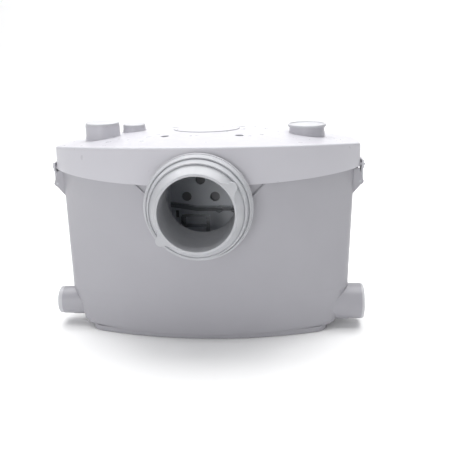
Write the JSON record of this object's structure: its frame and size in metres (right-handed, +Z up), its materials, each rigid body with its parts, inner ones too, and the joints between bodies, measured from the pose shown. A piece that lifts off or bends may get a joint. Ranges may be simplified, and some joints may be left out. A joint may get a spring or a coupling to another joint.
{
  "type": "macerator toilet pump",
  "caption": "D-shaped macerator pump unit for a toilet, with domed lid, rubber pan sleeve, capped waste spigots and an electric chopper pump inside.",
  "frame": {"origin": "on the floor in the middle of the tank's base, under the toilet inlet's centre plane", "axes": "+X to the right seen from the toilet, +Y to the back wall (the toilet's outlet enters along +Y), +Z up"},
  "size_m": [0.413, 0.215, 0.2742],
  "materials": {
    "shell_plastic": "moulded ABS, satin gloss, cool light grey",
    "lid_plastic": "moulded ABS, gloss, cool white",
    "cap_plastic": "moulded caps and plugs, satin",
    "clip_plastic": "moulded nylon",
    "sleeve_rubber": "soft light grey rubber",
    "seal_rubber": "black nitrile rubber",
    "inner_plastic": "dark slate polypropylene",
    "pipe_plastic": "mid grey polypropylene",
    "box_plastic": "black glass-filled nylon",
    "stainless": "brushed stainless steel",
    "motor_steel": "grey painted pressed steel",
    "motor_cast": "die-cast aluminium",
    "winding_copper": "varnished copper windings",
    "brass_fitting": "turned brass",
    "filter_foam": "activated carbon foam"
  },
  "bodies": {
    "housing": {"cable_gland": "box_plastic", "capacitor": "box_plastic", "capacitor_clip": "box_plastic", "cutter_bar": "stainless", "diaphragm_cover": "pipe_plastic", "discharge_pipe": "pipe_plastic", "front_bearing": "stainless", "inlet_collar": "cap_plastic", "inlet_sleeve": "sleeve_rubber", "left_clip_pin": "stainless", "left_flap_pin": "stainless", "lid": "lid_plastic", "lid_disc": "lid_plastic", "lid_gasket": "seal_rubber", "lid_screws": "stainless", "macerator_basket": "inner_plastic", "micro_switch": "box_plastic", "motor_can": "motor_steel", "motor_cradle": "inner_plastic", "motor_end_cap": "motor_cast", "motor_front_shield": "motor_cast", "motor_mounts": "seal_rubber", "motor_stator": "motor_steel", "motor_windings": "winding_copper", "outboard_bush": "brass_fitting", "outlet_tube": "pipe_plastic", "pressure_chamber": "pipe_plastic", "pressure_diaphragm": "seal_rubber", "pump_screws": "stainless", "pump_volute": "inner_plastic", "rear_bearing": "stainless", "right_clip_pin": "stainless", "right_flap_pin": "stainless", "shaft_seal": "seal_rubber", "suction_plate": "inner_plastic", "switch_cover": "box_plastic", "tank": "shell_plastic", "terminal_box": "box_plastic", "terminal_cover": "box_plastic", "valve_body": "pipe_plastic", "valve_pin": "stainless"},
    "rotor": {"drive_shaft": "stainless", "macerator_blade": "stainless", "blade_nut": "stainless", "pump_impeller": "inner_plastic", "motor_rotor": "motor_steel"},
    "right_clip": {"right_clip": "clip_plastic"},
    "left_clip": {"left_clip": "clip_plastic"},
    "right_flap": {"right_inlet_flap": "seal_rubber"},
    "left_flap": {"left_inlet_flap": "seal_rubber"},
    "outlet_flap": {"valve_flap": "seal_rubber"},
    "basin_cap": {"basin_inlet_cap": "cap_plastic"},
    "outlet_plug": {"outlet_cap": "cap_plastic"},
    "vent": {"vent_cap": "cap_plastic", "carbon_filter": "filter_foam"},
    "left_plug": {"left_inlet_plug": "cap_plastic"},
    "right_plug": {"right_inlet_plug": "cap_plastic"},
    "plunger": {"switch_plunger": "box_plastic"}
  },
  "joints": [
    {"name": "shaft_spin", "type": "hinge", "parent": "housing", "child": "rotor", "pos_m": [0, 0.014, 0.098], "axis": [1, 0, 0], "continuous": true},
    {"name": "right_clip_pivot", "type": "hinge", "parent": "housing", "child": "right_clip", "pos_m": [0.1986, 0.026, 0.195], "axis": [0, 1, 0], "range_deg": [0, 70]},
    {"name": "left_clip_pivot", "type": "hinge", "parent": "housing", "child": "left_clip", "pos_m": [-0.1986, 0.026, 0.195], "axis": [0, -1, 0], "range_deg": [0, 70]},
    {"name": "right_flap_pivot", "type": "hinge", "parent": "housing", "child": "right_flap", "pos_m": [0.1564, 0.008, 0.0618], "axis": [0, 1, 0], "range_deg": [0, 30]},
    {"name": "left_flap_pivot", "type": "hinge", "parent": "housing", "child": "left_flap", "pos_m": [-0.1564, 0.008, 0.0567], "axis": [0, -1, 0], "range_deg": [0, 30]},
    {"name": "outlet_flap_pivot", "type": "hinge", "parent": "housing", "child": "outlet_flap", "pos_m": [-0.0995, 0.07, 0.157], "axis": [-1, 0, 0], "range_deg": [0, 60]},
    {"name": "basin_cap_pull", "type": "slide", "parent": "housing", "child": "basin_cap", "axis": [0, 0, 1], "range_m": [0, 0.015]},
    {"name": "outlet_cap_pull", "type": "slide", "parent": "housing", "child": "outlet_plug", "axis": [0, 0, 1], "range_m": [0, 0.015]},
    {"name": "vent_cap_pull", "type": "slide", "parent": "housing", "child": "vent", "axis": [0, 0, 1], "range_m": [0, 0.015]},
    {"name": "left_plug_pull", "type": "slide", "parent": "housing", "child": "left_plug", "axis": [-1, 0, 0], "range_m": [0, 0.02]},
    {"name": "right_plug_pull", "type": "slide", "parent": "housing", "child": "right_plug", "axis": [1, 0, 0], "range_m": [0, 0.02]},
    {"name": "switch_press", "type": "slide", "parent": "housing", "child": "plunger", "axis": [0, 0, 1], "range_m": [0, 0.0025], "stiffness_N_per_m": 300}
  ]
}
